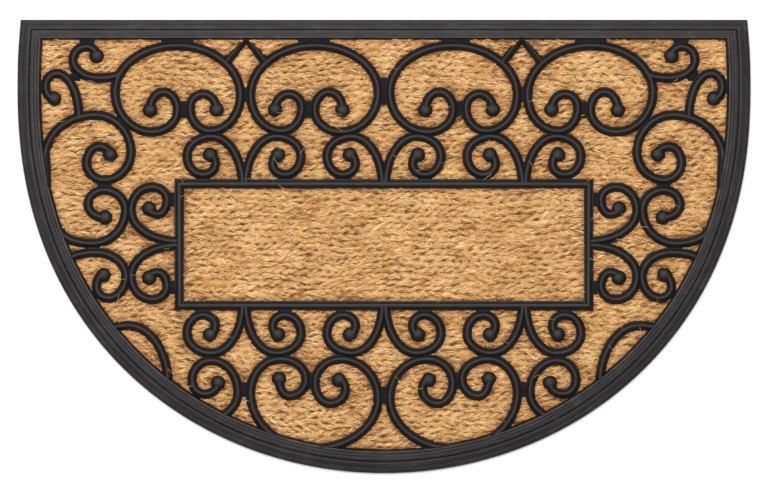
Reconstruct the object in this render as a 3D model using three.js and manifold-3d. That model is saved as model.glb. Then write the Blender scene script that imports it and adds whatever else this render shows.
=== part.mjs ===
// Half-round coir doormat, 734 by 454 mm.
// One rubber moulding holds a flat panel of woven coir: its floor closes the underside, its reeded border
// frames the panel, and its lattice of scrolls lies over the coir and runs into the border.
// Millimetres, +Z up, +Y towards the straight edge, origin at the middle of the underside.

import * as THREE from 'three';
import { mergeVertices } from 'three/addons/utils/BufferGeometryUtils.js';
import Module from 'manifold-3d';

// Outline
const WIDTH = 734;
const DEPTH = 454;
const STRAIGHT_EDGE = 727.5; // length of the straight edge
const SHOULDER = 67.5; // from the straight edge to the widest line
const FULLNESS = 2.23; // power of the round edge along y, 2 on a plain ellipse
const EDGE_STEPS = 48; // steps along the round edge

// Levels
const FLOOR_TOP = 2;
const COIR_TOP = 8.6;
const GAP = 0.3; // between the coir and the rubber
const JOIN_TOLERANCE = 0.004; // finest detail that a join keeps
const LATTICE_BOTTOM = COIR_TOP + GAP;
const BAR_HEIGHT = 2.6;
const BALL_HEIGHT = 3;
const WEB_HEIGHT = 1.6;

// Border section, from the foot of the outer edge to the foot of the inner wall
const BORDER_SECTION = [
  { inset: 0, z: 0 },
  { inset: 0, z: 3.2 },
  { inset: 1, z: 4.4 }, // outer bevel
  { inset: 3.8, z: 5.6 },
  { inset: 4.4, z: 5 }, // fine groove
  { inset: 5, z: 6.4 }, // first reed
  { inset: 8.8, z: 7.6 },
  { inset: 9.7, z: 6.2 }, // deep groove
  { inset: 10.6, z: 8.2 }, // second reed
  { inset: 16, z: 9.2 },
  { inset: 16.8, z: 11 }, // lip
  { inset: 18.6, z: 11.2 },
  { inset: 20, z: 9.6 },
  { inset: 20, z: FLOOR_TOP },
];
const BORDER_WIDTH = BORDER_SECTION.at(-1).inset;
const ROUND_SPREAD = 1.19; // the border is this much wider along the round edge than along the straight one
const LATTICE_REACH = 17.6; // inset at which the lattice ends inside the lip

// Lattice bars
const BAR_WIDTH = 8.4;
const BAR_CREST = 4.2; // width of the flat top
const BALL_WIDTH = 14.5;
const BALL_CREST = 7;
const BALL_SIDES = 6;
const BAR_SAG = 0.9; // how far a step of a scroll may stray from its true curve

// Plaque, a straight frame across the middle
const PLAQUE_WIDTH = 409.5; // between the middles of its bars
const PLAQUE_DEPTH = 121.8;
const PLAQUE_Y = 1.75;

// Scrolls of the left half, from their root or first ball to their last ball. Each point is where the scroll
// runs level or upright, and a quarter of an ellipse joins it to the next.
const ARCH = [
  { x: -234, y: 136.5 }, // large volute
  { x: -220.5, y: 154.5 },
  { x: -206.5, y: 136.5 },
  { x: -232, y: 114.5 },
  { x: -269, y: 154.5 },
  { x: -207, y: 201 }, // crown
  { x: -143.5, y: 151.5 },
  { x: -174, y: 115.5 }, // small volute
  { x: -194, y: 138.5 },
  { x: -181, y: 152.5 },
  { x: -167.5, y: 137 },
];
const ARCH_MIRROR = -138.5; // line about which the outer arch mirrors into the inner one
const INNER_STRETCH = 1.017; // the inner arch is this much wider, and so nears its twin at the middle

const LOW_ARCH = [
  { x: -105, y: -132.5 }, // small volute
  { x: -94.5, y: -149.5 },
  { x: -78, y: -132.5 },
  { x: -104, y: -112.5 },
  { x: -133.5, y: -146.5 },
  { x: -70, y: -202 }, // foot, inside the border
  { x: -5.8, y: -151.5 },
  { x: -43, y: -112.5 }, // large volute
  { x: -69, y: -136.5 },
  { x: -53.5, y: -157 },
  { x: -38.5, y: -142.5 },
  { x: -45, y: -133.5 },
];
const LOW_CURL = [
  { x: -179, y: -173.5 },
  { x: -146, y: -145.5 },
  { x: -173, y: -114 },
  { x: -192, y: -133.5 },
  { x: -179.5, y: -147.5 },
  { x: -166, y: -136.5 },
];
const LOW_ARC = [
  { x: -280, y: -88.5 },
  { x: -255.5, y: -79 },
  { x: -216, y: -137 },
];

// A sprig springs from the plaque and curls outward: x is out from its stem, y is away from the plaque.
const SPRIG = [
  { x: 1.6, y: -1 },
  { x: 32.5, y: 47.5 },
  { x: 57, y: 27.7 },
  { x: 41, y: 9.2 },
  { x: 28.6, y: 19.7 },
  { x: 34, y: 29 },
];
const SPRIG_STEMS = [-140, 0, 140];

const SHOULDER_SCROLL = [
  { x: -339, y: 88.5 },
  { x: -289, y: 131.5 },
  { x: -253, y: 94.5 },
  { x: -280, y: 66.5 },
  { x: -297.5, y: 83.5 },
  { x: -285, y: 100 },
  { x: -274, y: 92 },
];
const SHOULDER_ROOT = [ // it runs on along the border
  { x: -338.5, y: 91 },
  { x: -337.5, y: 60 },
];
const SIDE_SCROLL = [
  { x: -324, y: 18 },
  { x: -292, y: 3 },
  { x: -258.5, y: 36.5 },
  { x: -280, y: 56.5 },
  { x: -296, y: 42 },
  { x: -279, y: 29 },
];
const LOW_SIDE_SCROLL = [
  { x: -318, y: -17 },
  { x: -288, y: -6 },
  { x: -258, y: -30 },
  { x: -276, y: -51.5 },
  { x: -287.5, y: -40.5 },
  { x: -280.5, y: -28.5 },
];
const PLAQUE_SCROLL = [
  { x: -207, y: 5.4 },
  { x: -253, y: 36.5 },
  { x: -232, y: 59.5 },
  { x: -217, y: 46.5 },
  { x: -226, y: 32.5 },
  { x: -235, y: 38 },
];
const PLAQUE_SCROLL_MIRROR = 3.3; // level line about which it mirrors into its lower twin
const CORNER_CURL = [
  { x: -262.5, y: 174.5 },
  { x: -285.5, y: 168.5 },
  { x: -311, y: 186.5 },
  { x: -298, y: 200 },
  { x: -287.5, y: 190.5 },
];
const SHOULDER_CURL = [
  { x: -305, y: 128.5 },
  { x: -327, y: 173 },
  { x: -338.5, y: 160.5 },
  { x: -330, y: 148 },
];

// Small bracket under the straight edge, between the arches
const BRACKET_ROOT = { x: -138, y: 210 };
const BRACKET_FEET = [
  { x: -158.5, y: 183 },
  { x: -118, y: 183.5 },
];

// Flat webs where scrolls touch each other or the border: middle, size along x and size along y
const WEBS = [
  { x: -200.5, y: 137, wide: 12, deep: 17 }, // between an arch's volutes
  { x: -76.5, y: 137, wide: 12, deep: 17 },
  { x: -73.5, y: -134.5, wide: 12, deep: 17 },
  { x: -138.5, y: 152, wide: 10, deep: 15 }, // between neighbouring arches
  { x: -139.5, y: -143, wide: 10, deep: 15 },
  { x: -207, y: 206, wide: 32, deep: 10 }, // over the arches and the corner curl
  { x: -70, y: 206, wide: 32, deep: 10 },
  { x: -297, y: 206, wide: 15, deep: 10 },
  { x: -344, y: 160, wide: 10, deep: 14 }, // between the side scrolls
  { x: -309, y: 171, wide: 11, deep: 11 },
  { x: -260, y: 121.5, wide: 12, deep: 12 },
  { x: -279.5, y: 61.5, wide: 14, deep: 10 },
  { x: -210.5, y: 47, wide: 14, deep: 14 }, // between the plaque and its scrolls
  { x: -210.5, y: -41, wide: 14, deep: 14 },
];
const MIDDLE_WEBS = [
  { x: 0, y: 155.5, wide: 14, deep: 27 },
  { x: 0, y: -149, wide: 14, deep: 17 },
];
const SPRIG_WEB = { x: 41, y: 4.5, wide: 15, deep: 8 }; // placed as the sprig is

const wasm = await Module();
wasm.setup();

// Solids and meshes
function toSolid(geometry) {
  geometry.deleteAttribute('normal');
  geometry.deleteAttribute('uv');
  const merged = mergeVertices(geometry);
  const vertProperties = merged.getAttribute('position').array;
  const triVerts = Uint32Array.from(merged.getIndex().array);
  const mesh = new wasm.Mesh({ numProp: 3, vertProperties, triVerts });
  return new wasm.Manifold(mesh).setTolerance(JOIN_TOLERANCE);
}

function toMesh(name, solid, colour, roughness) {
  const { vertProperties, triVerts } = solid.getMesh();
  const geometry = new THREE.BufferGeometry();
  geometry.setAttribute('position', new THREE.BufferAttribute(vertProperties, 3));
  geometry.setIndex(new THREE.BufferAttribute(triVerts, 1));
  geometry.computeVertexNormals();
  const material = new THREE.MeshStandardMaterial({ color: colour, roughness, metalness: 0 });
  const mesh = new THREE.Mesh(geometry, material);
  mesh.name = name;
  return mesh;
}

function join(solids) {
  return solids.reduce((whole, solid) => whole.add(solid));
}

// Outline of the mat
const TOP_Y = DEPTH / 2;
const WIDEST_Y = TOP_Y - SHOULDER;
const HALF_WIDTH = WIDTH / 2;
const LOWER_REACH = DEPTH - SHOULDER;
const UPPER_REACH = SHOULDER / (1 - (STRAIGHT_EDGE / WIDTH) ** 2) ** (1 / FULLNESS);

// Point of the round edge at a turn from the right end of the widest line, moved inward by the spread inset
function roundEdgePoint(turn, inset) {
  const cosine = Math.cos(turn);
  const sine = Math.sin(turn);
  const reach = sine > 0 ? UPPER_REACH : LOWER_REACH;
  const rise = Math.abs(sine) ** (2 / FULLNESS);
  const normal = new THREE.Vector2(
    (2 * cosine) / HALF_WIDTH,
    (Math.sign(sine) * FULLNESS * rise ** (FULLNESS - 1)) / reach,
  ).normalize();
  const x = HALF_WIDTH * cosine - inset * ROUND_SPREAD * normal.x;
  const y = WIDEST_Y + reach * Math.sign(sine) * rise - inset * ROUND_SPREAD * normal.y;
  return new THREE.Vector2(x, y);
}

// Turn at which the inset round edge meets the inset straight edge
function cornerTurn(inset) {
  let low = 0;
  let high = Math.PI / 4;
  for (let halving = 0; halving < 40; halving++) {
    const middle = (low + high) / 2;
    if (roundEdgePoint(middle, inset).y < TOP_Y - inset) {
      low = middle;
    } else {
      high = middle;
    }
  }
  return low;
}

// The outline anticlockwise from the left corner to the right one, which the straight edge joins
function outline(inset) {
  const corner = cornerTurn(inset);
  const sweep = Math.PI + 2 * corner;
  return Array.from({ length: EDGE_STEPS + 1 }, (_, step) =>
    roundEdgePoint(Math.PI - corner + (sweep * step) / EDGE_STEPS, inset));
}

// Rings of as many points each, anticlockwise seen from above, with a wall from each to the next
function ringWalls(rings) {
  const count = rings[0].length;
  const faces = [];
  for (let ring = 0; ring + 1 < rings.length; ring++) {
    for (let step = 0; step < count; step++) {
      const here = ring * count + step;
      const next = ring * count + ((step + 1) % count);
      faces.push(here, next, next + count, here, next + count, here + count);
    }
  }
  return faces;
}

function toRingSolid(rings, faces) {
  const geometry = new THREE.BufferGeometry().setFromPoints(rings.flat());
  geometry.setIndex(faces);
  return toSolid(geometry);
}

// Border and floor: the outline at each row of the section, closed by a flat lid at both ends
function makeBorder() {
  const rings = BORDER_SECTION.map(({ inset, z }) =>
    outline(inset).map((point) => new THREE.Vector3(point.x, point.y, z)));
  const faces = ringWalls(rings);
  const lastRing = (rings.length - 1) * rings[0].length;
  for (let step = 1; step + 1 < rings[0].length; step++) {
    faces.push(0, step + 1, step);
    faces.push(lastRing, lastRing + step, lastRing + step + 1);
  }
  return toRingSolid(rings, faces);
}

function makeSlab(inset, bottom, top) {
  const geometry = new THREE.ExtrudeGeometry(new THREE.Shape(outline(inset)), {
    depth: top - bottom,
    bevelEnabled: false,
  });
  return toSolid(geometry.translate(0, 0, bottom));
}

// A scroll through its points by quarter ellipses. Its steps are spread by turn, so that tight volutes and
// wide arches stray equally little from the true curve.
class ScrollCurve extends THREE.Curve {
  constructor(points, startsUpright) {
    super();
    this.quarters = points.slice(1).map((end, index) => {
      const start = points[index];
      const upright = (index % 2 === 0) === startsUpright;
      const radius = Math.max(Math.abs(end.x - start.x), Math.abs(end.y - start.y));
      const stepAngle = 2 * Math.acos(1 - BAR_SAG / radius);
      return { start, end, upright, steps: Math.ceil(Math.PI / 2 / stepAngle) };
    });
    this.steps = this.quarters.reduce((sum, quarter) => sum + quarter.steps, 0);
  }

  // The quarter at a share of the whole turn, with the angle turned in it
  locate(share) {
    let left = share * this.steps;
    let index = 0;
    while (index + 1 < this.quarters.length && left > this.quarters[index].steps) {
      left -= this.quarters[index].steps;
      index += 1;
    }
    const quarter = this.quarters[index];
    return { ...quarter, angle: ((left / quarter.steps) * Math.PI) / 2 };
  }

  getPointAt(share) {
    const { start, end, upright, angle } = this.locate(share);
    const eased = 1 - Math.cos(angle);
    const x = start.x + (end.x - start.x) * (upright ? eased : Math.sin(angle));
    const y = start.y + (end.y - start.y) * (upright ? Math.sin(angle) : eased);
    return new THREE.Vector3(x, y, LATTICE_BOTTOM);
  }

  getTangentAt(share) {
    const { start, end, upright, angle } = this.locate(share);
    const x = (end.x - start.x) * (upright ? Math.sin(angle) : Math.cos(angle));
    const y = (end.y - start.y) * (upright ? Math.cos(angle) : Math.sin(angle));
    return new THREE.Vector3(x, y, 0).normalize();
  }
}

// Section of a bar. Along a level path the shape's x axis points down and its y axis to the left.
const BAR_SECTION = new THREE.Shape([
  new THREE.Vector2(0, -BAR_WIDTH / 2),
  new THREE.Vector2(0, BAR_WIDTH / 2),
  new THREE.Vector2(-BAR_HEIGHT, BAR_CREST / 2),
  new THREE.Vector2(-BAR_HEIGHT, -BAR_CREST / 2),
]);

function makeBar(curve, steps) {
  return toSolid(new THREE.ExtrudeGeometry(BAR_SECTION, { steps, extrudePath: curve }));
}

function makeStraightBar(from, to) {
  const start = new THREE.Vector3(from.x, from.y, LATTICE_BOTTOM);
  const end = new THREE.Vector3(to.x, to.y, LATTICE_BOTTOM);
  return makeBar(new THREE.LineCurve3(start, end), 1);
}

function makeBall(place) {
  const profile = [
    new THREE.Vector2(0, 0),
    new THREE.Vector2(BALL_WIDTH / 2, 0),
    new THREE.Vector2(BALL_CREST / 2, BALL_HEIGHT),
    new THREE.Vector2(0, BALL_HEIGHT),
  ];
  const ball = new THREE.LatheGeometry(profile, BALL_SIDES).rotateX(Math.PI / 2);
  return toSolid(ball.translate(place.x, place.y, LATTICE_BOTTOM));
}

function makeWeb({ x, y, wide, deep }) {
  const web = new THREE.BoxGeometry(wide, deep, WEB_HEIGHT);
  return toSolid(web.translate(x, y, LATTICE_BOTTOM + WEB_HEIGHT / 2));
}

function makeScroll(points, { ballAtRoot = false, ballAtEnd = true, startsUpright = true } = {}) {
  const curve = new ScrollCurve(points, startsUpright);
  const solids = [makeBar(curve, curve.steps)];
  if (ballAtRoot) {
    solids.push(makeBall(points[0]));
  }
  if (ballAtEnd) {
    solids.push(makeBall(points.at(-1)));
  }
  return solids;
}

// Places mirrored about an upright line and about a level one
const mirrored = (line) => (place) => ({ ...place, x: 2 * line - place.x });
const flipped = (line) => (place) => ({ ...place, y: 2 * line - place.y });
const HANDS = [(place) => place, mirrored(0)];

function makeArches(turn) {
  const inner = ARCH.map(({ x, y }) => ({ x: ARCH_MIRROR + (ARCH_MIRROR - x) * INNER_STRETCH, y }));
  return [
    ...makeScroll(ARCH.map(turn), { ballAtRoot: true }),
    ...makeScroll(inner.map(turn), { ballAtRoot: true }),
    ...makeScroll(LOW_ARCH.map(turn), { ballAtRoot: true }),
    ...makeScroll(LOW_CURL.map(turn), { startsUpright: false }),
    ...makeScroll(LOW_ARC.map(turn), { ballAtEnd: false }),
    ...BRACKET_FEET.map((foot) => makeStraightBar(turn(BRACKET_ROOT), turn(foot))),
  ];
}

function makeSideScrolls(turn) {
  const lowTwin = PLAQUE_SCROLL.map(flipped(PLAQUE_SCROLL_MIRROR));
  return [
    ...makeScroll(SHOULDER_SCROLL.map(turn)),
    makeStraightBar(...SHOULDER_ROOT.map(turn)),
    ...makeScroll(SIDE_SCROLL.map(turn)),
    ...makeScroll(LOW_SIDE_SCROLL.map(turn)),
    ...makeScroll(PLAQUE_SCROLL.map(turn), { startsUpright: false }),
    ...makeScroll(lowTwin.map(turn), { startsUpright: false }),
    ...makeScroll(CORNER_CURL.map(turn)),
    ...makeScroll(SHOULDER_CURL.map(turn)),
  ];
}

function makeSprigs(hand) {
  const solids = [];
  for (const stem of SPRIG_STEMS) {
    for (const side of [-1, 1]) {
      const placed = (place) => ({
        ...place,
        x: stem + hand * place.x,
        y: PLAQUE_Y + side * (PLAQUE_DEPTH / 2 + place.y),
      });
      solids.push(...makeScroll(SPRIG.map(placed)), makeWeb(placed(SPRIG_WEB)));
    }
  }
  return solids;
}

// The plaque's frame is mitred: the section of a bar at each of its four corners
function makePlaque() {
  const section = [
    { grow: BAR_WIDTH / 2, z: LATTICE_BOTTOM },
    { grow: BAR_CREST / 2, z: LATTICE_BOTTOM + BAR_HEIGHT },
    { grow: -BAR_CREST / 2, z: LATTICE_BOTTOM + BAR_HEIGHT },
    { grow: -BAR_WIDTH / 2, z: LATTICE_BOTTOM },
  ];
  const corners = [[-1, -1], [1, -1], [1, 1], [-1, 1]];
  const rings = [...section, section[0]].map(({ grow, z }) => corners.map(([right, up]) =>
    new THREE.Vector3(right * (PLAQUE_WIDTH / 2 + grow), PLAQUE_Y + up * (PLAQUE_DEPTH / 2 + grow), z)));
  return toRingSolid(rings, ringWalls(rings));
}

function makeRubberMoulding() {
  const lattice = join([
    makePlaque(),
    ...[-1, 1].flatMap(makeSprigs),
    ...HANDS.flatMap(makeArches),
    ...HANDS.flatMap(makeSideScrolls),
    ...HANDS.flatMap((turn) => WEBS.map(turn).map(makeWeb)),
    ...MIDDLE_WEBS.map(makeWeb),
  ]);
  const withinLip = makeSlab(LATTICE_REACH, FLOOR_TOP, LATTICE_BOTTOM + 2 * BALL_HEIGHT);
  const moulding = makeBorder().add(lattice.intersect(withinLip));
  return toMesh('rubber_moulding', moulding, 0x453e3f, 0.6);
}

function makeCoirPanel() {
  const panel = makeSlab(BORDER_WIDTH + GAP, FLOOR_TOP + GAP, COIR_TOP);
  return toMesh('coir_panel', panel, 0xc89963, 0.9);
}

const doormat = new THREE.Group();
doormat.add(makeRubberMoulding(), makeCoirPanel());

export default doormat;
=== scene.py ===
import math

import bpy
import numpy as np
from mathutils.kdtree import KDTree
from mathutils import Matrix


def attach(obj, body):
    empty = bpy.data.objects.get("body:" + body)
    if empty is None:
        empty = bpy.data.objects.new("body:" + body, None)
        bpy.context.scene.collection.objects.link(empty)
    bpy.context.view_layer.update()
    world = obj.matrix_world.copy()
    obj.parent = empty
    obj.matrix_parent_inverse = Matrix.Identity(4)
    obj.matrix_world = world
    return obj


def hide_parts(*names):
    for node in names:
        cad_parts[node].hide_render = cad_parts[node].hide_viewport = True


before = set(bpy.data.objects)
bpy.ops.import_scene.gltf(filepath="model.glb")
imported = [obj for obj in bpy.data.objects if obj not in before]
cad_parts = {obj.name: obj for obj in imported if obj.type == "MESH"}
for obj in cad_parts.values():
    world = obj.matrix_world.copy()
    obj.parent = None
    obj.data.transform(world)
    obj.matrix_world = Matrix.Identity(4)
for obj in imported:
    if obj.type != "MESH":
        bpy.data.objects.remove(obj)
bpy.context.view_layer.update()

# Rubber border and floor
# The mat's back and rim are pressed from black rubber in one steel mould: a thin floor under the coir, and
# around it a border of stepped reeds with a raised lip, mitred at the two corners of the straight edge.

MM = 0.001
WIDTH = 734
DEPTH = 454
STRAIGHT_EDGE = 727.5  # length of the straight edge
SHOULDER = 67.5  # from the straight edge to the widest line
FULLNESS = 2.23  # power of the round edge along y, 2 on a plain ellipse
EDGE_STEPS = 220  # steps along the round edge
TOP_Y = DEPTH / 2
HALF_WIDTH = WIDTH / 2
WIDEST_Y = TOP_Y - SHOULDER
LOWER_REACH = DEPTH - SHOULDER
UPPER_REACH = SHOULDER / (1 - (STRAIGHT_EDGE / WIDTH) ** 2) ** (1 / FULLNESS)
CORNER_TURN = math.acos(STRAIGHT_EDGE / WIDTH)
CORNER_CLEAR = 26  # from a corner to the next step of the round edge, so that its mitre stays clear of it
CLEAR_TURN = math.asin(((SHOULDER - CORNER_CLEAR) / UPPER_REACH) ** (FULLNESS / 2))
ROUND_SPREAD = 1.19  # the border is this much wider along the round edge than along the straight one

# Section of the border from the foot of its outer edge to the foot of its inner wall: inset, height
BORDER_SECTION = [
    (0, 0), (0, 2.9), (0.3, 3.5), (0.9, 4.2), (1.8, 4.75), (2.8, 5.2), (3.5, 5.5), (3.9, 5.4),
    (4.2, 5.0), (4.5, 5.05), (4.75, 5.9), (5.2, 6.45), (6.0, 6.8), (6.5, 6.95), (6.7, 6.7), (6.9, 7.0),
    (7.8, 7.3), (8.5, 7.5), (9.0, 7.4), (9.35, 6.9), (9.7, 6.4), (10.0, 6.7), (10.3, 7.7), (10.8, 8.2),
    (11.8, 8.5), (12.6, 8.65), (13.5, 8.75), (13.75, 8.4), (14.0, 8.8), (15.0, 9.05), (15.6, 9.1),
    (16.0, 9.0), (16.25, 9.5), (16.5, 10.5), (16.9, 11.0), (17.5, 11.25), (18.0, 11.2), (18.4, 10.9),
    (18.7, 10.2), (19.1, 9.0), (19.6, 7.8), (20, 7.0), (20, 2),
]


def round_edge(turn, inset):
    """Points of the round edge, inset, at turns from the right end of the widest line."""
    cosine = np.cos(turn)
    sine = np.sin(turn)
    side = np.sign(sine)
    reach = np.where(sine > 0, UPPER_REACH, LOWER_REACH)
    rise = np.abs(sine) ** (2 / FULLNESS)
    outward = np.stack([2 * cosine / HALF_WIDTH, side * FULLNESS * rise ** (FULLNESS - 1) / reach], axis=-1)
    outward /= np.linalg.norm(outward, axis=-1, keepdims=True)
    edge = np.stack([HALF_WIDTH * cosine, WIDEST_Y + side * reach * rise], axis=-1)
    return edge - inset * outward


def place_vertices(piece, places):
    """Moves a piece's vertices to places in millimetres."""
    piece.data.vertices.foreach_set("co", (np.asarray(places, float) * MM).ravel())
    piece.data.update()


def read_vertices(piece):
    """A piece's vertices in millimetres."""
    places = np.zeros(len(piece.data.vertices) * 3)
    piece.data.vertices.foreach_get("co", places)
    return places.reshape(-1, 3) / MM


def edit(piece):
    """Opens one piece alone for editing, with all of it selected."""
    bpy.ops.object.select_all(action="DESELECT")
    piece.select_set(True)
    bpy.context.view_layer.objects.active = piece
    bpy.ops.object.mode_set(mode="EDIT")
    bpy.ops.mesh.select_all(action="SELECT")


def follow_section(rows):
    """Insets the selected face step by step, so that the faces left behind follow a section."""
    for (inset, height), (next_inset, next_height) in zip(rows, rows[1:]):
        bpy.ops.mesh.inset(thickness=(next_inset - inset) * MM, depth=(next_height - height) * MM)


def close_edges():
    """Fills open edges of the piece being edited and turns its faces outward."""
    bpy.ops.mesh.select_all(action="SELECT")
    bpy.ops.mesh.fill_holes(sides=0)
    bpy.ops.mesh.select_all(action="SELECT")
    bpy.ops.mesh.normals_make_consistent(inside=False)


def end_edit(smooth_degrees):
    """Leaves editing and shades the piece smooth across edges flatter than the angle."""
    bpy.ops.object.mode_set(mode="OBJECT")
    bpy.ops.object.shade_smooth_by_angle(angle=math.radians(smooth_degrees))


bpy.ops.object.select_all(action="DESELECT")
bpy.ops.mesh.primitive_circle_add(vertices=EDGE_STEPS + 3, radius=HALF_WIDTH * MM, fill_type="NGON")
border = bpy.context.object
border.name = "rubber_border"
edge_turns = np.linspace(math.pi - CLEAR_TURN, 2 * math.pi + CLEAR_TURN, EDGE_STEPS + 1)
edge_turns = np.concatenate([[math.pi - CORNER_TURN], edge_turns, [2 * math.pi + CORNER_TURN]])
edge_places = round_edge(edge_turns, 0)
place_vertices(border, np.column_stack([edge_places, np.zeros(len(edge_places))]))
edit(border)
follow_section(BORDER_SECTION)
close_edges()
end_edit(32)


def inset_of(places, spread):
    """How far places lie inside the mat's edge. Along the round edge that is divided by the spread."""
    least = np.full(len(places), np.inf)
    for start, end in zip(edge_places, edge_places[1:]):
        span = end - start
        apart = places[:, :2] - start
        share = np.clip(apart @ span / (span @ span), 0, 1)
        least = np.minimum(least, np.linalg.norm(apart - share[:, None] * span, axis=1))
    return np.minimum(least / spread, TOP_Y - places[:, 1])


# The border is spread along the round edge. Its corners move level, so that the straight edge keeps its
# section.
border_places = read_vertices(border)
border_inset = inset_of(border_places, 1)
inward = round_edge(edge_turns, 1) - edge_places
inward[[0, -1]] = [(1, 0), (-1, 0)]
nearest_edge = np.argmin(np.linalg.norm(border_places[:, None, :2] - edge_places, axis=2), axis=1)
at_corner = TOP_Y - border_places[:, 1] < border_inset + 0.01
nearest_edge[at_corner] = np.where(border_places[at_corner, 0] < 0, 0, len(edge_places) - 1)
border_places[:, :2] += (ROUND_SPREAD - 1) * border_inset[:, None] * inward[nearest_edge]
place_vertices(border, border_places)

# Where each vertex lies along and across the reeds, counted in lengths and widths of the mould's drag marks
DRAG_LENGTH = 60
DRAG_WIDTH = 1.4
edge_steps = np.linalg.norm(np.diff(edge_places, axis=0), axis=1)
edge_along = np.concatenate([[0], np.cumsum(edge_steps)])[nearest_edge]
reed_places = np.column_stack([edge_along / DRAG_LENGTH, border_inset / DRAG_WIDTH, 0 * border_inset])
reed_attribute = border.data.attributes.new("reed_place", "FLOAT_VECTOR", "POINT")
reed_attribute.data.foreach_set("vector", reed_places.ravel())


def linear(hex_colour):
    """An sRGB hex colour as linear red, green, blue and alpha."""
    parts = [int(hex_colour[i : i + 2], 16) / 255 for i in (1, 3, 5)]
    return [c / 12.92 if c <= 0.04045 else ((c + 0.055) / 1.055) ** 2.4 for c in parts] + [1]


def add_node(material, kind, settings=None, values=None, links=None):
    """Adds a node with its settings, input values and links from (node, output name)."""
    node = material.node_tree.nodes.new(kind)
    for name, setting in (settings or {}).items():
        setattr(node, name, setting)
    for name, value in (values or {}).items():
        node.inputs[name].default_value = value
    for name, (source, output) in (links or {}).items():
        material.node_tree.links.new(source.outputs[output], node.inputs[name])
    return node


def new_material(name):
    """An empty material with its output node."""
    material = bpy.data.materials.new(name)
    material.use_nodes = True
    material.node_tree.nodes.clear()
    return material, add_node(material, "ShaderNodeOutputMaterial")


def set_ramp(node, stops):
    """Gives a colour ramp its stops, each a position and a hex colour."""
    elements = node.color_ramp.elements
    while len(elements) < len(stops):
        elements.new(1)
    for element, (position, colour) in zip(elements, stops):
        element.position = position
        element.color = linear(colour)


# Black moulded rubber: a soft grey sheen on a near-black body, dusty, painted paler up high as a painted
# highlight, and faintly pitted by the mould.
RUBBER_DUST_MM = 14
RUBBER_PIT_MM = 0.7
PAINTED_HIGHLIGHT_HEIGHTS = (9.5, 11.2)  # between which heights the rubber is painted paler, a painted highlight on its highest parts


def moulded_rubber(name, shades, roughness, specular, painted_highlight, streaks=None):
    """Moulded rubber in shades from its dark body to its dust, painted paler up high as a painted highlight.

    Its grain is fine pits, or streaks along the places in an attribute."""
    rubber, rubber_out = new_material(name)
    place = add_node(rubber, "ShaderNodeTexCoord")
    dust = add_node(
        rubber, "ShaderNodeTexNoise", None,
        {"Scale": 1 / (RUBBER_DUST_MM * MM), "Detail": 6, "Roughness": 0.7}, {"Vector": (place, "Object")})
    axes = add_node(rubber, "ShaderNodeSeparateXYZ", None, None, {"Vector": (place, "Object")})
    # Painted highlight: the rubber is painted paler between these heights, where the lip stands highest.
    painted_highlight_tone = add_node(
        rubber, "ShaderNodeMapRange", None,
        {"From Min": PAINTED_HIGHLIGHT_HEIGHTS[0] * MM, "From Max": PAINTED_HIGHLIGHT_HEIGHTS[1] * MM, "To Max": painted_highlight},
        {"Value": (axes, "Z")})
    grain_place, grain_scale = (place, "Object"), 1 / (RUBBER_PIT_MM * MM)
    if streaks:
        streak_place = add_node(rubber, "ShaderNodeAttribute", {"attribute_name": streaks})
        grain_place, grain_scale = (streak_place, "Vector"), 1
    grain = add_node(
        rubber, "ShaderNodeTexNoise", None, {"Scale": grain_scale, "Detail": 3}, {"Vector": grain_place})
    grain_tone = add_node(
        rubber, "ShaderNodeMapRange", None,
        {"From Min": 0.3, "From Max": 0.7, "To Min": -0.2, "To Max": 0.2}, {"Value": (grain, "Fac")})
    dust_and_painted_highlight = add_node(
        rubber, "ShaderNodeMath", {"operation": "ADD"}, None, {0: (dust, "Fac"), 1: (painted_highlight_tone, "Result")})
    tone = add_node(
        rubber, "ShaderNodeMath", {"operation": "ADD"}, None,
        {0: (dust_and_painted_highlight, "Value"), 1: (grain_tone, "Result")})
    colour = add_node(rubber, "ShaderNodeValToRGB", None, None, {"Fac": (tone, "Value")})
    set_ramp(colour, list(zip((0.3, 0.55, 0.95), shades)))
    bump = add_node(
        rubber, "ShaderNodeBump", None, {"Strength": 0.5, "Distance": 0.2 * MM}, {"Height": (grain, "Fac")})
    shader = add_node(
        rubber, "ShaderNodeBsdfPrincipled", None,
        {"Roughness": roughness, "IOR": 1.5, "Specular IOR Level": specular},
        {"Base Color": (colour, "Color"), "Normal": (bump, "Normal")})
    rubber.node_tree.links.new(shader.outputs["BSDF"], rubber_out.inputs["Surface"])
    return rubber


# The border's raised lip gets a painted highlight, paler than the rest of its rubber.
border_rubber = moulded_rubber(
    "dusty_rubber_painted_lip_highlight", ("#120e0e", "#1b1717", "#403a3b"), roughness=0.6, specular=0.45, painted_highlight=0.25,
    streaks="reed_place")
border.data.materials.append(border_rubber)
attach(border, "root")
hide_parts("rubber_moulding")

# Scroll lattice
# The same moulding's open lattice lies over the coir: half-round bars on a narrow flange, bent into scrolls
# that end in balls, with flat webs where they touch and a straight mitred frame around the plain plaque.

LATTICE_BOTTOM = 8.9
BAR_FOOT = -2  # depth to which the bars are pressed into the coir
SCROLL_SAG = 0.05  # how far a step of a scroll may stray from its true curve
BALL_WIDTH = 15.2
BALL_MIDDLE = 7.2
BALL_TOP = 11.9
WEB_TOP = 8.7
PLAQUE_WIDTH = 409.5  # between the middles of its bars
PLAQUE_DEPTH = 121.8
PLAQUE_Y = 1.75
LATTICE_REACH = 17.4  # inset at which the lattice sinks into the lip
SUNK_BY = 4.8

# Half of a bar's section from its crest to its foot: distance from the middle, height over the lattice's
# bottom
BAR_HALF_SECTION = [
    (0, 2.75), (0.7, 2.68), (1.4, 2.42), (2.0, 1.98), (2.5, 1.42), (3.0, 0.8), (3.5, 0.3), (4.1, 0),
    (4.7, -0.3), (4.9, -0.7), (4.9, BAR_FOOT),
]

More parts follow.
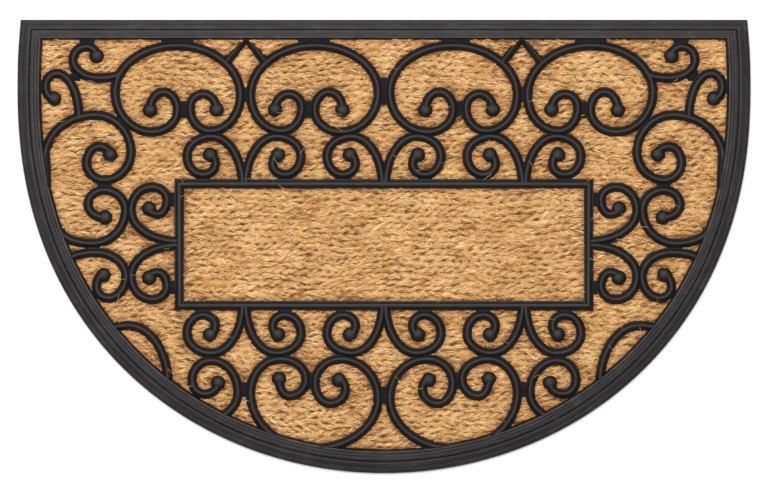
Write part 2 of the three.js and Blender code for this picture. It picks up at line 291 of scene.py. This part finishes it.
# Scrolls of the left half from their root or first ball to their last ball, as x, y. Each point is where
# the scroll runs level or upright, and a quarter of an ellipse joins it to the next.
ARCH = [
    (-234, 136.5), (-220.5, 154.5), (-206.5, 136.5), (-232, 114.5), (-269, 154.5), (-207, 201),
    (-143.5, 151.5), (-174, 115.5), (-194, 138.5), (-181, 152.5), (-167.5, 137),
]
ARCH_MIRROR = -138.5  # line about which the outer arch mirrors into the inner one
INNER_STRETCH = 1.017  # the inner arch is this much wider, and so nears its twin at the middle
LOW_ARCH = [
    (-105, -132.5), (-94.5, -149.5), (-78, -132.5), (-104, -112.5), (-133.5, -146.5), (-70, -202),
    (-5.8, -151.5), (-43, -112.5), (-69, -136.5), (-53.5, -157), (-38.5, -142.5), (-45, -133.5),
]
LOW_CURL = [(-179, -173.5), (-146, -145.5), (-173, -114), (-192, -133.5), (-179.5, -147.5), (-166, -136.5)]
LOW_ARC = [(-280, -88.5), (-255.5, -79), (-216, -137)]
SHOULDER_SCROLL = [
    (-339, 88.5), (-289, 131.5), (-253, 94.5), (-280, 66.5), (-297.5, 83.5), (-285, 100), (-274, 92),
]
SHOULDER_ROOT = [(-338.5, 91), (-337.5, 60)]  # the shoulder scroll runs on along the border
SIDE_SCROLL = [(-324, 18), (-292, 3), (-258.5, 36.5), (-280, 56.5), (-296, 42), (-279, 29)]
LOW_SIDE_SCROLL = [(-318, -17), (-288, -6), (-258, -30), (-276, -51.5), (-287.5, -40.5), (-280.5, -28.5)]
PLAQUE_SCROLL = [(-207, 5.4), (-253, 36.5), (-232, 59.5), (-217, 46.5), (-226, 32.5), (-235, 38)]
PLAQUE_SCROLL_MIRROR = 3.3  # level line about which it mirrors into its lower twin
CORNER_CURL = [(-262.5, 174.5), (-285.5, 168.5), (-311, 186.5), (-298, 200), (-287.5, 190.5)]
SHOULDER_CURL = [(-305, 128.5), (-327, 173), (-338.5, 160.5), (-330, 148)]
BRACKET_ROOT = (-138, 210)
BRACKET_FEET = [(-158.5, 183), (-118, 183.5)]

# A sprig springs from the plaque and curls outward: out from its stem, away from the plaque
SPRIG = [(1.6, -1), (32.5, 47.5), (57, 27.7), (41, 9.2), (28.6, 19.7), (34, 29)]
SPRIG_STEMS = [-140, 0, 140]
SPRIG_WEB = (41, 4.5, 15, 8)

# Flat webs of the left half, and those on the middle line: middle as x and y, size along x, size along y
WEBS = [
    (-200.5, 137, 12, 17), (-76.5, 137, 12, 17), (-73.5, -134.5, 12, 17), (-138.5, 152, 10, 15),
    (-139.5, -143, 10, 15), (-207, 206, 32, 7), (-70, 206, 32, 7), (-297, 206, 15, 7), (-344, 160, 10, 14),
    (-309, 171, 11, 11), (-260, 121.5, 12, 12), (-279.5, 61.5, 14, 10), (-210.5, 47, 14, 14),
    (-210.5, -41, 14, 14),
]
MIDDLE_WEBS = [(0, 155.5, 14, 27), (0, -149, 14, 17)]


def mirrored(places, line=0, stretch=1):
    """Places mirrored about an upright line and stretched away from it."""
    return [(line + (line - x) * stretch, y, *size) for x, y, *size in places]


def flipped(places, line):
    """Places mirrored about a level line."""
    return [(x, 2 * line - y, *size) for x, y, *size in places]


# Every scroll of the left half: its points, whether it starts upright, ball at its root, ball at its end
LEFT_SCROLLS = [
    (ARCH, True, True, True),
    (mirrored(ARCH, ARCH_MIRROR, INNER_STRETCH), True, True, True),
    (LOW_ARCH, True, True, True),
    (LOW_CURL, False, False, True),
    (LOW_ARC, True, False, False),
    (SHOULDER_SCROLL, True, False, True),
    (SIDE_SCROLL, True, False, True),
    (LOW_SIDE_SCROLL, True, False, True),
    (PLAQUE_SCROLL, False, False, True),
    (flipped(PLAQUE_SCROLL, PLAQUE_SCROLL_MIRROR), False, False, True),
    (CORNER_CURL, True, False, True),
    (SHOULDER_CURL, True, False, True),
]
scrolls = LEFT_SCROLLS + [(mirrored(places), *facts) for places, *facts in LEFT_SCROLLS]
webs = WEBS + mirrored(WEBS) + MIDDLE_WEBS
for stem in SPRIG_STEMS:
    for hand in (-1, 1):
        for side in (-1, 1):
            foot = PLAQUE_Y + side * PLAQUE_DEPTH / 2
            sprig = [(stem + hand * out, foot + side * away) for out, away in SPRIG]
            scrolls.append((sprig, True, False, True))
            out, away, wide, deep = SPRIG_WEB
            webs.append((stem + hand * out, foot + side * away, wide, deep))


def scroll_points(places, upright, sag):
    """Points along a scroll, no farther than the sag from its quarter ellipses."""
    points = [places[0]]
    for (x, y), (next_x, next_y) in zip(places, places[1:]):
        radius = max(abs(next_x - x), abs(next_y - y))
        steps = math.ceil(math.pi / 4 / math.acos(1 - sag / radius))
        for angle in np.linspace(0, math.pi / 2, steps + 1)[1:]:
            shares = (1 - math.cos(angle), math.sin(angle))
            share_x, share_y = shares if upright else shares[::-1]
            points.append((x + (next_x - x) * share_x, y + (next_y - y) * share_y))
        upright = not upright
    return points


def add_line(curve, points, closed=False):
    """Adds a line through points, each x, y and height in millimetres, to a curve."""
    line = curve.splines.new("POLY")
    line.points.add(len(points) - 1)
    line.use_cyclic_u = closed
    for point, place in zip(line.points, points):
        point.co = (*(length * MM for length in place), 1)


def new_curve(name):
    """An empty curve in the scene."""
    curve = bpy.data.curves.new(name, "CURVE")
    curve.dimensions = "3D"
    piece = bpy.data.objects.new(name, curve)
    bpy.context.scene.collection.objects.link(piece)
    return piece


bar_section = new_curve("bar_section")
half_section = [(out, height, 0) for out, height in BAR_HALF_SECTION]
other_half = [(-out, height, 0) for out, height in BAR_HALF_SECTION[:0:-1]]
add_line(bar_section.data, half_section + other_half, closed=True)

lattice = new_curve("rubber_lattice")
for places, upright, *balls in scrolls:
    points = scroll_points(places, upright, SCROLL_SAG)
    add_line(lattice.data, [(x, y, LATTICE_BOTTOM) for x, y in points])
straight_bars = [[BRACKET_ROOT, foot] for foot in BRACKET_FEET] + [SHOULDER_ROOT]
straight_bars += [mirrored(bar) for bar in straight_bars]
for bar in straight_bars:
    add_line(lattice.data, [(x, y, LATTICE_BOTTOM) for x, y in bar])
lattice.data.twist_mode = "Z_UP"
lattice.data.bevel_mode = "OBJECT"
lattice.data.bevel_object = bar_section
lattice.data.use_fill_caps = True
bpy.ops.object.select_all(action="DESELECT")
lattice.select_set(True)
bpy.context.view_layer.objects.active = lattice
bpy.ops.object.convert(target="MESH")
bpy.data.objects.remove(bar_section)


# The bars that run into the border sink into its lip.
edit(lattice)
bpy.ops.mesh.remove_doubles(threshold=0.001 * MM)
close_edges()
bpy.ops.object.mode_set(mode="OBJECT")
lattice_places = read_vertices(lattice)
under_lip = inset_of(lattice_places, ROUND_SPREAD) < LATTICE_REACH
lattice_places[under_lip, 2] -= SUNK_BY
place_vertices(lattice, lattice_places)

# Plaque frame, a bar's section followed inward from the outside of the frame
HALF_BAR = BAR_HALF_SECTION[-1][0]
bar_rows = [(HALF_BAR - out, height) for out, height in reversed(BAR_HALF_SECTION)]
bar_rows += [(HALF_BAR + out, height) for out, height in BAR_HALF_SECTION[1:]]
bpy.ops.object.select_all(action="DESELECT")
bpy.ops.mesh.primitive_plane_add(size=1)
plaque = bpy.context.object
corner_signs = np.sign(read_vertices(plaque))
plaque_size = [PLAQUE_WIDTH / 2 + HALF_BAR, PLAQUE_DEPTH / 2 + HALF_BAR, 0]
place_vertices(plaque, corner_signs * plaque_size + [0, PLAQUE_Y, LATTICE_BOTTOM + BAR_FOOT])
edit(plaque)
follow_section(bar_rows)
bpy.ops.mesh.delete(type="ONLY_FACE")
bpy.ops.mesh.select_mode(type="EDGE")
bpy.ops.mesh.select_non_manifold()
bpy.ops.mesh.bridge_edge_loops()
bpy.ops.mesh.select_mode(type="VERT")
close_edges()
bpy.ops.object.mode_set(mode="OBJECT")
lattice_parts = [lattice, plaque]

# Ball ends, one flattened ball copied to every end
ball_places = []
for places, upright, at_root, at_end in scrolls:
    ball_places += places[:1] * at_root + places[-1:] * at_end
bpy.ops.object.select_all(action="DESELECT")
bpy.ops.mesh.primitive_uv_sphere_add(segments=24, ring_count=14, radius=BALL_WIDTH / 2 * MM)
ball = bpy.context.object
ball_shape = read_vertices(ball) * [1, 1, (BALL_TOP - BALL_MIDDLE) / (BALL_WIDTH / 2)]
for x, y in ball_places:
    end_ball = ball.copy()
    end_ball.data = ball.data.copy()
    bpy.context.scene.collection.objects.link(end_ball)
    place_vertices(end_ball, ball_shape + [x, y, BALL_MIDDLE])
    lattice_parts.append(end_ball)
bpy.data.objects.remove(ball)

lattice_rubber = moulded_rubber(
    "black_moulded_rubber", ("#0b0909", "#110e0e", "#241f1f"), roughness=0.5, specular=0.32, painted_highlight=0)
for part in lattice_parts:
    part.data.materials.append(lattice_rubber)

# Webs, flat blocks with their edges eased, as they left the mould, duller than the bars and painted darker
# as shade where they lie sunk between them
WEB_EASE = 0.5
shaded_web_rubber = moulded_rubber(
    "dull_rubber_painted_shade", ("#0a0808", "#0f0c0c", "#1a1616"), roughness=0.7, specular=0.15, painted_highlight=0)
for x, y, wide, deep in webs:
    bpy.ops.object.select_all(action="DESELECT")
    bpy.ops.mesh.primitive_cube_add(size=1)
    web = bpy.context.object
    web_bottom = LATTICE_BOTTOM + BAR_FOOT
    web_size = [wide / 2, deep / 2, (WEB_TOP - web_bottom) / 2]
    web_middle = [x, y, (WEB_TOP + web_bottom) / 2]
    place_vertices(web, np.sign(read_vertices(web)) * web_size + web_middle)
    edit(web)
    bpy.ops.mesh.bevel(offset=WEB_EASE * MM, segments=2, affect="EDGES")
    bpy.ops.object.mode_set(mode="OBJECT")
    web.data.materials.append(shaded_web_rubber)
    lattice_parts.append(web)

bpy.ops.object.select_all(action="DESELECT")
for part in lattice_parts:
    part.select_set(True)
bpy.context.view_layer.objects.active = lattice
bpy.ops.object.join()
bpy.ops.object.shade_smooth_by_angle(angle=math.radians(40))
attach(lattice, "root")
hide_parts("rubber_moulding")

# Coir panel
# One flat half-round panel woven from thick two-ply coir yarn, which runs from side to side. The mould
# pressed it between the floor and the lattice, so it is flattened at the bars and bulges between them.

PANEL_INSET = 20.3
PANEL_BOTTOM = 2.3
PANEL_COLUMNS = 240
PANEL_ROWS = 290
YARN_PITCH = 6.2  # between neighbouring yarns
YARN_AXIS = 6  # height of a yarn's middle
PLY_TURN = 22  # length of yarn in which its two plies turn once
PLY_OFFSET = 1.25  # from the yarn's middle to a ply's middle
PLY_RADIUS = 2.3
GAP_FLOOR = 7  # lowest that the eye sees between the yarns
YARN_COUNT = 90
LEFT_LAID_SHARE = 0.3  # yarns that are twisted the other way

weave_dice = np.random.default_rng(41)
yarn_phase = weave_dice.uniform(0, 2 * math.pi, (4, YARN_COUNT))
yarn_turn = PLY_TURN * weave_dice.uniform(0.88, 1.14, YARN_COUNT)
yarn_hand = np.where(weave_dice.random(YARN_COUNT) < LEFT_LAID_SHARE, 1, -1)
wander_phase = weave_dice.uniform(0, 2 * math.pi, 6)


def wander(x, y):
    """How far the yarns stray from straight lines."""
    first, second, third, *tilts = wander_phase
    return (
        1.9 * np.sin(x / 31 + first + 1.6 * np.sin(y / 37 + tilts[0]))
        + 1.4 * np.sin(x / 15 + second + 2.1 * np.sin(y / 19 + tilts[1]))
        + 0.7 * np.sin(x / 7 + third + 2.6 * np.sin(y / 13 + tilts[2])))


def weave(x, y):
    """Height of the yarns at a place and the slant of the ply that lies on top there."""
    across = y - wander(x, y)
    nearest = np.round(across / YARN_PITCH).astype(int)
    height = np.full(np.shape(x), GAP_FLOOR - YARN_AXIS)
    slant = np.zeros(np.shape(x))
    for neighbour in (-1, 0, 1):
        yarn = nearest + neighbour
        row = yarn % YARN_COUNT
        twist = yarn_hand[row] * 2 * math.pi / yarn_turn[row]
        uneven = 1.1 * np.sin(x / 23 + yarn_phase[1][row]) + 0.7 * np.sin(x / 9 + yarn_phase[2][row])
        swell = 1 + 0.16 * np.sin(x / 6 + yarn_phase[3][row]) + 0.12 * np.sin(x / 19 + yarn_phase[2][row])
        for ply in (0, math.pi):
            turn = twist * x + yarn_phase[0][row] + uneven + ply
            off = across - yarn * YARN_PITCH - PLY_OFFSET * np.cos(turn)
            crown = np.sqrt(np.maximum((PLY_RADIUS * swell) ** 2 - off**2, 0))
            ply_height = np.where(crown > 0, PLY_OFFSET * np.sin(turn) + crown, -np.inf)
            slant = np.where(ply_height > height, -PLY_OFFSET * np.sin(turn) * twist, slant)
            height = np.maximum(height, ply_height)
    return YARN_AXIS + height, slant


# The distance of every millimetre of the panel from the middle of the nearest bar. Webs and the border's
# lip count as bars, with the edge of their rubber half a bar from their points.
bar_points = []
for places, upright, *balls in scrolls:
    bar_points += scroll_points(places, upright, 0.01)
for (x, y), (next_x, next_y) in straight_bars:
    bar_points += list(zip(np.linspace(x, next_x, 30), np.linspace(y, next_y, 30)))
for share in np.linspace(-0.5, 0.5, 400):
    for side in (-0.5, 0.5):
        bar_points.append((share * PLAQUE_WIDTH, PLAQUE_Y + side * PLAQUE_DEPTH))
        bar_points.append((side * PLAQUE_WIDTH, PLAQUE_Y + share * PLAQUE_DEPTH))
ball_reach = BALL_WIDTH / 2 - HALF_BAR
for x, y in ball_places:
    for angle in np.linspace(0, 2 * math.pi, 9):
        bar_points.append((x + ball_reach * math.cos(angle), y + ball_reach * math.sin(angle)))
for x, y, wide, deep in webs:
    for share_x in np.linspace(-1, 1, 5):
        for share_y in np.linspace(-1, 1, 5):
            out_x = share_x * max(wide / 2 - HALF_BAR, 0)
            out_y = share_y * max(deep / 2 - HALF_BAR, 0)
            bar_points.append((x + out_x, y + out_y))
lip_turns = np.linspace(math.pi - CORNER_TURN, 2 * math.pi + CORNER_TURN, 1500)
bar_points += round_edge(lip_turns, PANEL_INSET * ROUND_SPREAD - HALF_BAR).tolist()
lip_y = TOP_Y - PANEL_INSET + HALF_BAR
bar_points += [(x, lip_y) for x in np.linspace(-HALF_WIDTH, HALF_WIDTH, 800)]
bar_tree = KDTree(len(bar_points))
for index, (x, y) in enumerate(bar_points):
    bar_tree.insert((x, y, 0), index)
bar_tree.balance()
GRID_X = np.arange(-362, 363)
GRID_Y = np.arange(-222, 223)
bar_grid = np.array([[bar_tree.find((x, y, 0))[2] for y in GRID_Y] for x in GRID_X])


def bar_distance(x, y):
    """Distance from the middle of the nearest bar, read between the grid's points."""
    across = np.clip(x - GRID_X[0], 0, len(GRID_X) - 1.001)
    up = np.clip(y - GRID_Y[0], 0, len(GRID_Y) - 1.001)
    column = across.astype(int)
    line = up.astype(int)
    share_x = across - column
    share_y = up - line
    low = bar_grid[column, line] * (1 - share_x) + bar_grid[column + 1, line] * share_x
    high = bar_grid[column, line + 1] * (1 - share_x) + bar_grid[column + 1, line + 1] * share_x
    return low * (1 - share_y) + high * share_y


PRESSED_TO = 6.9  # height about which the bars flatten the yarns
PRESSED_SHARE = 0.45  # of the relief that is left at a bar
BULGE_REACH = 10.5  # from a bar's middle to where the yarns stand free


def freedom(x, y):
    """How free the yarns stand, from 0 at a bar to 1 between the bars."""
    free = np.clip((bar_distance(x, y) - HALF_BAR) / (BULGE_REACH - HALF_BAR), 0, 1)
    return free * free * (3 - 2 * free)


def panel_height(x, y):
    """Height of the panel's face, pressed flatter near the bars."""
    height = weave(x, y)[0]
    return PRESSED_TO + (height - PRESSED_TO) * (PRESSED_SHARE + (1 - PRESSED_SHARE) * freedom(x, y))


panel_edge = round_edge(np.linspace(-math.pi / 2, CORNER_TURN, 600), PANEL_INSET * ROUND_SPREAD)
PANEL_LOW_Y = panel_edge[0, 1]
PANEL_TOP_Y = TOP_Y - PANEL_INSET


def half_width_at(y):
    """Half of the panel's width at a height on the mat."""
    return np.interp(y, panel_edge[:, 1], panel_edge[:, 0])


bpy.ops.object.select_all(action="DESELECT")
bpy.ops.mesh.primitive_grid_add(x_subdivisions=PANEL_COLUMNS, y_subdivisions=PANEL_ROWS, size=2 * MM)
panel = bpy.context.object
panel.name = "coir_panel_weave"
grid_places = read_vertices(panel)
panel_y = PANEL_LOW_Y + (PANEL_TOP_Y - PANEL_LOW_Y) * (grid_places[:, 1] + 1) / 2
panel_x = grid_places[:, 0] * half_width_at(panel_y)
place_vertices(panel, np.column_stack([panel_x, panel_y, panel_height(panel_x, panel_y)]))
edit(panel)
bpy.ops.mesh.remove_doubles(threshold=0.01 * MM)
bpy.ops.mesh.select_mode(type="EDGE")
bpy.ops.mesh.select_all(action="DESELECT")
bpy.ops.mesh.select_non_manifold()
bpy.ops.mesh.extrude_edges_move(TRANSFORM_OT_translate={"value": (0, 0, -PANEL_BOTTOM * MM)})
bpy.ops.object.mode_set(mode="OBJECT")
foot = np.zeros(len(panel.data.vertices), bool)
panel.data.vertices.foreach_get("select", foot)
panel_places = read_vertices(panel)
panel_places[foot, 2] = PANEL_BOTTOM
place_vertices(panel, panel_places)
bpy.ops.object.mode_set(mode="EDIT")
bpy.ops.mesh.edge_face_add()
bpy.ops.mesh.select_mode(type="VERT")
bpy.ops.mesh.select_all(action="SELECT")
bpy.ops.mesh.normals_make_consistent(inside=False)
end_edit(60)

# Coir yarn under its loose strands: brown, with painted shade that darkens it down between the yarns and
# where the bars press it low.
COIR_MOTTLE_MM = 3
yarn, yarn_out = new_material("coir_yarn")
yarn_place = add_node(yarn, "ShaderNodeTexCoord")
yarn_axes = add_node(yarn, "ShaderNodeSeparateXYZ", None, None, {"Vector": (yarn_place, "Object")})
yarn_mottle = add_node(
    yarn, "ShaderNodeTexNoise", None, {"Scale": 1 / (COIR_MOTTLE_MM * MM), "Detail": 3},
    {"Vector": (yarn_place, "Object")})
# Painted shade: the lower the yarn lies, the darker it is painted.
painted_depth_shade = add_node(
    yarn, "ShaderNodeMapRange", None,
    {"From Min": GAP_FLOOR * MM, "From Max": (YARN_AXIS + PLY_OFFSET + PLY_RADIUS) * MM},
    {"Value": (yarn_axes, "Z")})
yarn_tone = add_node(
    yarn, "ShaderNodeMath", {"operation": "MULTIPLY_ADD"}, {1: 0.3},
    {0: (yarn_mottle, "Fac"), 2: (painted_depth_shade, "Result")})
yarn_colour = add_node(yarn, "ShaderNodeValToRGB", None, None, {"Fac": (yarn_tone, "Value")})
set_ramp(yarn_colour, [(0.12, "#573a20"), (0.35, "#9c6f42"), (0.7, "#c99b61"), (1, "#d8ab70")])
yarn_shader = add_node(
    yarn, "ShaderNodeBsdfPrincipled", None, {"Roughness": 0.85, "IOR": 1.45, "Specular IOR Level": 0.25},
    {"Base Color": (yarn_colour, "Color")})
yarn.node_tree.links.new(yarn_shader.outputs["BSDF"], yarn_out.inputs["Surface"])
panel.data.materials.append(yarn)
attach(panel, "root")
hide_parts("coir_panel")

# Coir strands
# The yarns' own fibres: stiff, pale brown coconut fibres in flat bundles that follow the twist of each ply,
# with finer single fibres across them and a few stray hairs that lie up over the rubber.

STRAND_PIECES = 3
STRANDS_A_PIECE = 9700
STRAND_LENGTH = (5, 14)
STRAND_HALF_WIDTH = (0.22, 0.62)
STRAND_LIFT = (0.1, 0.55)
STRAND_STRAY = 0.2  # spread of the strands' angles about their ply, in radians
STRAND_TONE = (0.66, 0.18)  # middle and spread
BAR_SHADE_TONE = 0.4  # by which a strand at a bar or the border's lip is painted darker, as shade beside the rubber
STRAND_STEPS = np.array([-0.5, -0.25, 0, 0.25, 0.5])
LOWEST_STRAND = 7.2  # strands don't lie across the gaps below this


def strand_mesh(name, paths, half_widths, tones):
    """One mesh of pointed three-sided strands. Each has five points, a half width and a tone."""
    along = np.gradient(paths, axis=1)
    left = np.stack([-along[..., 1], along[..., 0], np.zeros(along.shape[:2])], axis=-1)
    left /= np.maximum(np.linalg.norm(left, axis=-1, keepdims=True), 1e-9)
    wide = half_widths[:, None, None] * left[:, 1:4]
    rise = half_widths[:, None, None] * np.array([0, 0, 1])
    middles = paths[:, 1:4]
    corners = [middles - wide - 0.4 * rise, middles + wide - 0.4 * rise, middles + 0.7 * rise]
    rings = np.stack(corners, axis=2)
    count = len(paths)
    places = np.concatenate([paths[:, :1], rings.reshape(count, 9, 3), paths[:, 4:]], axis=1)
    quads = [(s + a, s + b, s + 3 + b, s + 3 + a) for s in (1, 4) for a, b in ((0, 1), (1, 2), (2, 0))]
    points = [(0, 1 + b, 1 + a) for a, b in ((0, 1), (1, 2), (2, 0))]
    points += [(7 + a, 7 + b, 10) for a, b in ((0, 1), (1, 2), (2, 0))]
    firsts = (np.arange(count) * 11)[:, None, None]
    faces = (np.array(quads) + firsts).reshape(-1, 4).tolist()
    faces += (np.array(points) + firsts).reshape(-1, 3).tolist()
    mesh = bpy.data.meshes.new(name)
    mesh.from_pydata((places.reshape(-1, 3) * MM).tolist(), [], faces)
    mesh.shade_smooth()
    tone = mesh.attributes.new("tone", "FLOAT", "POINT")
    tone.data.foreach_set("value", np.repeat(tones, 11).astype(np.float32))
    piece = bpy.data.objects.new(name, mesh)
    bpy.context.scene.collection.objects.link(piece)
    return piece


def scatter(dice, count, nearest, farthest):
    """Places spread evenly over the coir, this near to and far from the middle of a bar."""
    kept = np.zeros((0, 2))
    while len(kept) < count:
        tries = dice.uniform([-HALF_WIDTH, PANEL_LOW_Y], [HALF_WIDTH, PANEL_TOP_Y], (4 * count, 2))
        inside = np.abs(tries[:, 0]) < half_width_at(tries[:, 1]) - 1
        apart = bar_distance(tries[:, 0], tries[:, 1])
        high = weave(tries[:, 0], tries[:, 1])[0] > LOWEST_STRAND
        kept = np.concatenate([kept, tries[inside & high & (apart > nearest) & (apart < farthest)]])
    return kept[:count]


PUSHED_IN = 8  # farthest that a strand is pushed in to clear the border


def lay_strands(dice, starts, angle, length, lift, ground):
    """Five points along each strand, bowed over the ground. Strands that cross the border are left out."""
    reach = STRAND_STEPS * length[:, None]
    bow = dice.normal(0, 0.9, len(starts))[:, None] * (4 * STRAND_STEPS**2 - 0.5)
    x = starts[:, :1] + reach * np.cos(angle)[:, None] - bow * np.sin(angle)[:, None]
    y = starts[:, 1:] + reach * np.sin(angle)[:, None] + bow * np.cos(angle)[:, None]
    over = np.clip(np.max(np.abs(x) - half_width_at(y) - 0.5, axis=1), 0, PUSHED_IN)
    x = x - (np.sign(starts[:, 0]) * over)[:, None]
    inside = np.all((np.abs(x) < half_width_at(y) + 1) & (y < PANEL_TOP_Y + 1), axis=1)
    tucked = lift[:, None] * np.array([-0.5, 1, 1, 1, -0.5])
    return np.stack([x, y, ground(x, y) + tucked], axis=-1)[inside]


# Dry coir fibre: straw to pale brown, each strand its own shade, with a faint dry gloss.
coir, coir_out = new_material("coir_fibre")
coir_tone = add_node(coir, "ShaderNodeAttribute", {"attribute_name": "tone"})
coir_colour = add_node(coir, "ShaderNodeValToRGB", None, None, {"Fac": (coir_tone, "Fac")})
set_ramp(coir_colour, [
    (0, "#6d4022"), (0.2, "#a26a3c"), (0.4, "#c6935a"), (0.62, "#dcad70"), (0.85, "#efc68c"), (1, "#f8d8a6"),
])
coir_shader = add_node(
    coir, "ShaderNodeBsdfPrincipled", None, {"Roughness": 0.7, "IOR": 1.45, "Specular IOR Level": 0.3},
    {"Base Color": (coir_colour, "Color")})
coir.node_tree.links.new(coir_shader.outputs["BSDF"], coir_out.inputs["Surface"])

def finish_strands(name, paths, half_widths, tones):
    """Makes laid strands one piece of the coir."""
    strands = strand_mesh(name, paths, half_widths, tones)
    strands.data.materials.append(coir)
    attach(strands, "root")
    return strands


def patch_tone(x, y):
    """Broad patches of paler and browner fibre."""
    return 0.09 * np.sin(x / 11 + 2 * np.sin(y / 9)) + 0.07 * np.sin(x / 27 - y / 17 + 3 * np.sin(y / 31))


# Bundles along the plies, painted darker near the bars and the lip as shade
for number in range(1, STRAND_PIECES + 1):
    dice = np.random.default_rng(100 + number)
    starts = scatter(dice, STRANDS_A_PIECE, 3.2, np.inf)
    slant = weave(starts[:, 0], starts[:, 1])[1]
    angle = np.arctan(slant * dice.uniform(0.5, 1.2, len(starts)))
    angle = angle + dice.normal(0, STRAND_STRAY, len(starts))
    length = dice.uniform(*STRAND_LENGTH, len(starts))
    lift = dice.uniform(*STRAND_LIFT, len(starts))
    paths = lay_strands(dice, starts, angle, length, lift, panel_height)
    x, y = paths[:, 2, 0], paths[:, 2, 1]
    tones = dice.normal(*STRAND_TONE, len(paths)) + patch_tone(x, y) - BAR_SHADE_TONE * (1 - freedom(x, y))
    half_widths = dice.uniform(*STRAND_HALF_WIDTH, len(paths))
    name = f"coir_strands_{number}"
    finish_strands(name, paths, half_widths, np.clip(tones, 0, 1))

# Single fibres across them, some pale and some brown
FIBRE_COUNT = 6800
FIBRE_LENGTH = (7, 18)
FIBRE_HALF_WIDTH = (0.12, 0.28)
FIBRE_LIFT = (0.35, 0.95)
FIBRE_STRAY = 0.5
BROWN_SHARE = 0.35
dice = np.random.default_rng(211)
starts = scatter(dice, FIBRE_COUNT, 5.5, np.inf)
slant = weave(starts[:, 0], starts[:, 1])[1]
angle = np.arctan(slant) + dice.normal(0, FIBRE_STRAY, len(starts))
lift = dice.uniform(*FIBRE_LIFT, len(starts))
length = dice.uniform(*FIBRE_LENGTH, len(starts))
paths = lay_strands(dice, starts, angle, length, lift, panel_height)
brown = dice.random(len(paths)) < BROWN_SHARE
tones = np.where(brown, dice.uniform(0, 0.3, len(paths)), dice.uniform(0.7, 1, len(paths)))
half_widths = dice.uniform(*FIBRE_HALF_WIDTH, len(paths))
finish_strands("coir_fibres", paths, half_widths, tones)

# Stray hairs that lie up over the bars
HAIR_COUNT = 80
HAIR_LENGTH = (7, 17)
HAIR_HALF_WIDTH = (0.08, 0.16)
HAIR_LIFT = (0.15, 0.4)
HAIR_STRAY = 0.6
bar_outs = [out for out, height in BAR_HALF_SECTION]
bar_heights = [LATTICE_BOTTOM + height for out, height in BAR_HALF_SECTION]


def hair_height(x, y):
    """Heights along hairs whose ends lie on the bar or coir and whose middles pass over the bars' crest."""
    bar = np.interp(bar_distance(x, y), bar_outs, bar_heights, right=0)
    tops = np.maximum(bar, panel_height(x, y))
    return np.where([False, True, True, True, False], bar_heights[0], tops)


dice = np.random.default_rng(307)
starts = scatter(dice, HAIR_COUNT, 2.5, 7)
angle = dice.normal(0, HAIR_STRAY, len(starts))
lift = dice.uniform(*HAIR_LIFT, len(starts))
length = dice.uniform(*HAIR_LENGTH, len(starts))
paths = lay_strands(dice, starts, angle, length, lift, hair_height)
half_widths = dice.uniform(*HAIR_HALF_WIDTH, len(paths))
tones = dice.uniform(0.75, 1, len(paths))
finish_strands("coir_hairs", paths, half_widths, tones)

# Stage
# A plain white studio floor, one wide soft light high over the straight edge and a pale surround, with the
# camera straight above the mat.

FLOOR_SIZE = 30
FLOOR_DROP = 0.2 * MM
VIEW_WIDTH = 0.768  # of the floor that the picture shows at the mat's face
CAMERA_HEIGHT = 4.5
MAT_FACE = 0.009

bpy.ops.object.select_all(action="DESELECT")
bpy.ops.mesh.primitive_plane_add(size=FLOOR_SIZE, location=(0, 0, -FLOOR_DROP))
floor = bpy.context.object
floor.name = "studio_floor"
paper, paper_out = new_material("white_paper")
paper_shader = add_node(
    paper, "ShaderNodeBsdfPrincipled", None,
    {"Base Color": linear("#f4f4f3"), "Roughness": 0.9, "Specular IOR Level": 0.2})
paper.node_tree.links.new(paper_shader.outputs["BSDF"], paper_out.inputs["Surface"])
floor.data.materials.append(paper)

LIGHT_PLACE = (-0.2, 0.7, 2.5)
soft_light = bpy.data.lights.new("soft_light", "AREA")
soft_light.shape = "DISK"
soft_light.size = 3.4
soft_light.energy = 110
soft_lamp = bpy.data.objects.new("soft_light", soft_light)
soft_lamp.location = LIGHT_PLACE
soft_lamp.rotation_euler = (
    -math.atan2(LIGHT_PLACE[1], LIGHT_PLACE[2]),
    math.atan2(LIGHT_PLACE[0], LIGHT_PLACE[2]),
    0,
)
bpy.context.scene.collection.objects.link(soft_lamp)

surround = bpy.data.worlds.new("pale_surround")
surround.use_nodes = True
surround.node_tree.nodes["Background"].inputs["Color"].default_value = (1, 1, 1, 1)
surround.node_tree.nodes["Background"].inputs["Strength"].default_value = 0.25
bpy.context.scene.world = surround
bpy.context.scene.view_settings.view_transform = "Standard"

camera_data = bpy.data.cameras.new("camera")
camera_data.sensor_width = 36
camera_data.lens = camera_data.sensor_width * (CAMERA_HEIGHT - MAT_FACE) / VIEW_WIDTH
camera = bpy.data.objects.new("camera", camera_data)
camera.location = (0, 0, CAMERA_HEIGHT)
bpy.context.scene.collection.objects.link(camera)
bpy.context.scene.camera = camera
